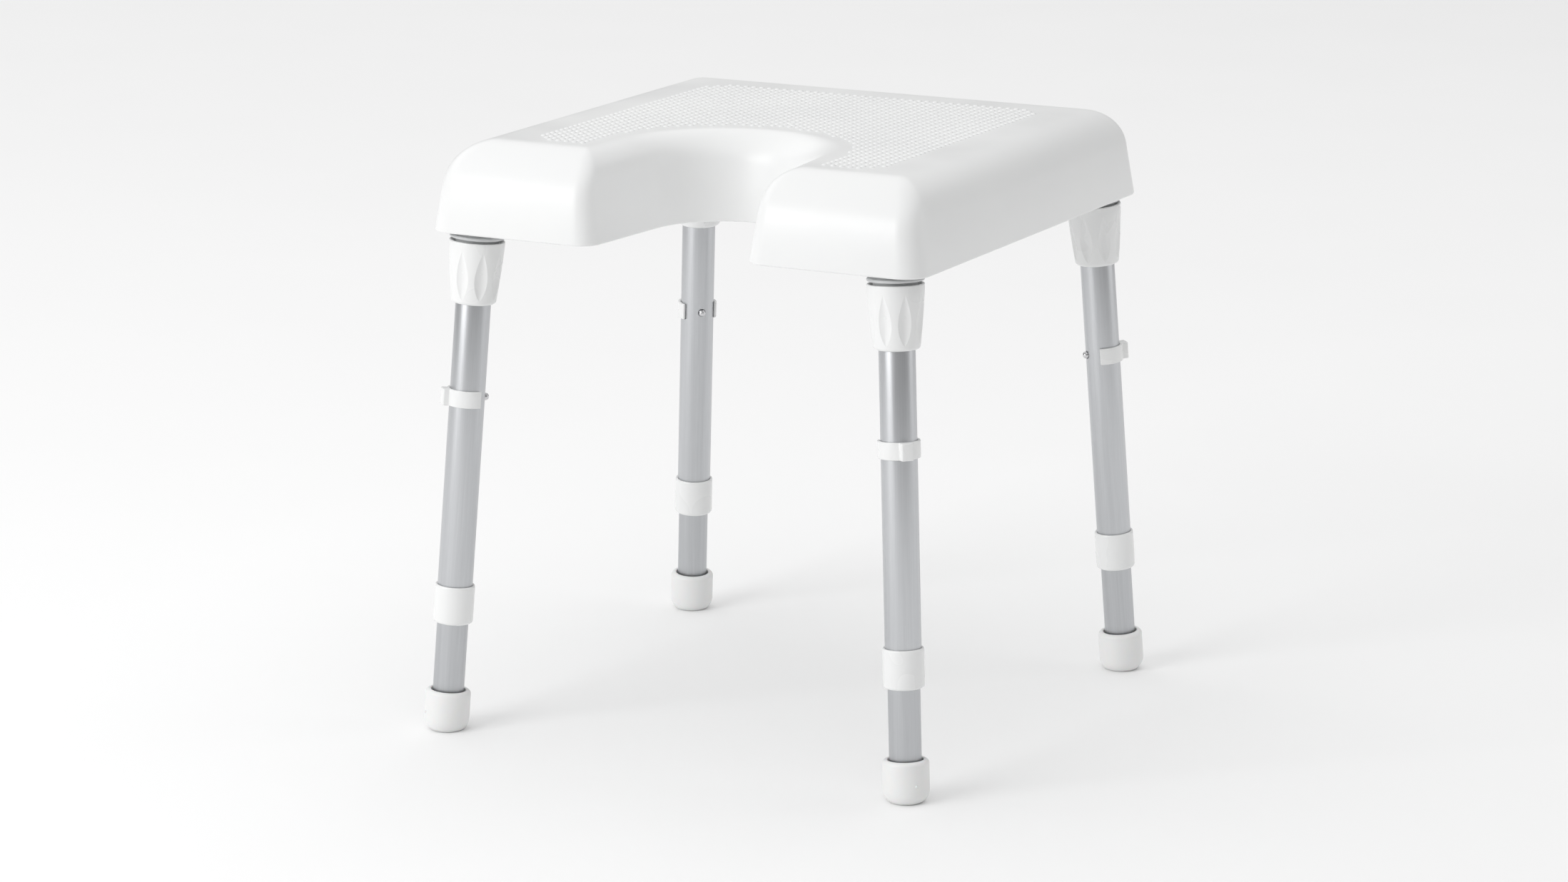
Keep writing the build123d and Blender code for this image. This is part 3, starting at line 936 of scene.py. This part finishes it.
# ---------------------------------------------------------------------------
# Lock pins: bright stainless steel, turned with a round nose, pressed into
# the clip's block and out through both tubes.
# ---------------------------------------------------------------------------
pin_steel, start = new_material("pin_stainless_steel")
place = start.node("ShaderNodeAttribute", {"attribute_name": "leg_place"}, {}, output=1)
turning = place.noise(900.0, 3.0)
surface(start, {
    "Base Color": turning.between(0.0, 1.0).tint((0.60, 0.60, 0.61), (0.72, 0.72, 0.73)),
    "Roughness": turning.between(0.10, 0.22),
    "Metallic": 1.0,
    "Normal": turning.bump(0.05, 0.02 * MM),
})
pin_radius = 3 * MM
pin_nose = -17.5 * MM
pin_nose_round = 2.85 * MM
pin_tail = 19.3 * MM
pin_tail_round = 0.5 * MM
pin_sides = 48
pin_profile = round_off([
    (0, pin_nose, 0),
    (pin_radius, pin_nose, pin_nose_round),
    (pin_radius, pin_tail, pin_tail_round),
    (0, pin_tail, 0),
], steps=12)
pin_mesh = laid_across(tidied(*lathed(pin_profile, pin_sides)), pin_level)
for leg in LEGS:
    pin = placed_on_leg("steel_pin", leg, pin_mesh, pin_steel)
    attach(pin, f"{leg}_clip")
    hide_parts(f"{leg}_lock_pin")

# ---------------------------------------------------------------------------
# Feet: soft white rubber, moulded with a rolled rim, a round heel and a small
# gate nub, and pushed over the inner tube's end onto a steel washer.
# ---------------------------------------------------------------------------
rubber_white, place = new_material("foot_white_rubber")
dust = place.noise(26.0, 5.0, 0.6)
skin = place.noise(260.0, 3.0)
surface(place, {
    "Base Color": dust.between(0.0, 1.0).tint((0.82, 0.825, 0.82), (0.86, 0.86, 0.855)),
    "Roughness": place.noise(30.0, 1.0).between(0.36, 0.50),
    "Normal": skin.bump(0.3, 0.05 * MM),
    "Subsurface Weight": 0.08,
    "Subsurface Scale": 2 * MM,
})
foot_radius = 18.2 * MM
foot_low = -2 * MM  # cut level with the floor once the foot leans with its leg
foot_top = 33 * MM
foot_bore = inner_radius + 0.06 * MM
foot_floor = 6 * MM
mouth_radius = 13.7 * MM
mouth_low = 28 * MM
foot_profile = round_off([
    (0, foot_low, 0),
    (foot_radius, foot_low, 12 * MM),
    (foot_radius, foot_top, 3.4 * MM),
    (mouth_radius, foot_top, 1.0 * MM),
    (mouth_radius, mouth_low, 0.5 * MM),
    (foot_bore, mouth_low, 0),
    (foot_bore, foot_floor, 0),
    (0, foot_floor, 0),
], steps=14)
foot_mesh = tidied(*lathed(foot_profile, tube_sides))
nub_root = -0.5 * MM
nub_tip = 0.9 * MM
nub_level = 14.5 * MM
nub_sides = 16
nub_profile = round_off([
    (0, nub_root, 0),
    (1.1 * MM, nub_root, 0),
    (0.9 * MM, nub_tip, 0.6 * MM),
    (0, nub_tip, 0),
])
nub_verts, nub_faces = tidied(*lathed(nub_profile, nub_sides))
nub_seat = Matrix.Translation((foot_radius - 0.1 * MM, 0, nub_level))
nub_turn = Matrix.Rotation(radians(8), 4, "Z") @ nub_seat @ Matrix.Rotation(pi / 2, 4, "Y")
nub_mesh = ([tuple(nub_turn @ Vector(vert)) for vert in nub_verts], nub_faces)
for leg in LEGS:
    foot = placed_on_leg("rubber_foot", leg, joined([foot_mesh, nub_mesh]), rubber_white)
    for vert in foot.data.vertices:
        vert.co.z = max(vert.co.z, 0.0)
    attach(foot, f"{leg}_lower_leg")
    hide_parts(f"{leg}_foot")

# ---------------------------------------------------------------------------
# Hidden pieces: natural nylon grip rings, black nylon glides, and the zinc
# plated screws and washers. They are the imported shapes.
# ---------------------------------------------------------------------------
grip_nylon = moulded_plastic(
    "grip_natural_nylon", pale=(0.66, 0.65, 0.60), dim=(0.58, 0.57, 0.52),
    gloss=0.38, rough=0.52, peel=0.2, clouds=80.0,
)
glide_black = moulded_plastic(
    "glide_black_nylon", pale=(0.03, 0.03, 0.032), dim=(0.02, 0.02, 0.022),
    gloss=0.35, rough=0.5, peel=0.2, clouds=80.0,
)
zinc, place = new_material("zinc_plated_steel")
bloom = place.noise(420.0, 4.0)
surface(place, {
    "Base Color": bloom.between(0.0, 1.0).tint((0.50, 0.51, 0.52), (0.63, 0.64, 0.65)),
    "Roughness": bloom.between(0.28, 0.42),
    "Metallic": 1.0,
    "Normal": bloom.bump(0.08, 0.03 * MM),
})
for leg in LEGS:
    dress(f"{leg}_grip_ring", grip_nylon)
    dress(f"{leg}_tube_glide", glide_black)
    dress(f"{leg}_socket_screw", zinc)
    dress(f"{leg}_foot_washer", zinc)

# ---------------------------------------------------------------------------
# Studio: a wide pale floor under a very large ceiling soft box, a key at the
# front left, a weak fill at the rear right, and a long lens at the front right.
# ---------------------------------------------------------------------------
floor_paint, place = new_material("studio_floor_paint")
patches = place.noise(0.6, 2.0).between(0.0, 1.0)
surface(place, {
    "Base Color": patches.tint((0.955, 0.955, 0.955), (0.97, 0.97, 0.97)),
    "Roughness": place.noise(5.0, 2.0).between(0.75, 0.85),
})
floor_half = 30.0
floor_corners = [
    (-floor_half, -floor_half, 0), (floor_half, -floor_half, 0),
    (floor_half, floor_half, 0), (-floor_half, floor_half, 0),
]
studio_floor = new_piece("studio_floor", floor_corners, [(0, 1, 2, 3)], floor_paint)


def soft_box(name, place, aim, size, power):
    """A white area light turned towards a point."""
    lamp = bpy.data.lights.new(name, "AREA")
    lamp.shape = "RECTANGLE"
    lamp.size, lamp.size_y = size
    lamp.energy = power
    holder = bpy.data.objects.new(name, lamp)
    holder.location = place
    holder.rotation_euler = (Vector(aim) - Vector(place)).to_track_quat("-Z", "Y").to_euler()
    bpy.context.scene.collection.objects.link(holder)


seat_middle = (0, 0, 0.35)
under_ceiling = (-3.0, 1.5, 0.0)
soft_box("key_soft_box", (-1.6, -3.2, 1.6), aim=seat_middle, size=(2.2, 2.0), power=56)
soft_box("fill_soft_box", (3.2, 1.8, 1.2), aim=seat_middle, size=(2.4, 2.0), power=14)
soft_box("ceiling_soft_box", (-3.0, 1.5, 5.0), aim=under_ceiling, size=(14.0, 14.0), power=520)

studio_air = bpy.data.worlds.new("studio_air")
studio_air.use_nodes = True
air = studio_air.node_tree.nodes["Background"]
air.inputs["Color"].default_value = (1.0, 1.0, 1.0, 1)
air.inputs["Strength"].default_value = 0.30
bpy.context.scene.world = studio_air
bpy.context.scene.view_settings.view_transform = "Standard"

lens_azimuth = radians(27.54)
lens_height_angle = radians(13.49)
camera = bpy.data.cameras.new("studio_camera")
camera.lens = 108.4
camera.sensor_width = 36.0
camera.clip_end = 200.0
camera_holder = bpy.data.objects.new("studio_camera", camera)
camera_holder.location = (1.7124, -3.2971, 1.1071)
back = Vector((
    sin(lens_azimuth) * cos(lens_height_angle),
    -cos(lens_azimuth) * cos(lens_height_angle),
    sin(lens_height_angle),
))
camera_holder.rotation_euler = back.to_track_quat("Z", "Y").to_euler()
bpy.context.scene.collection.objects.link(camera_holder)
bpy.context.scene.camera = camera_holder
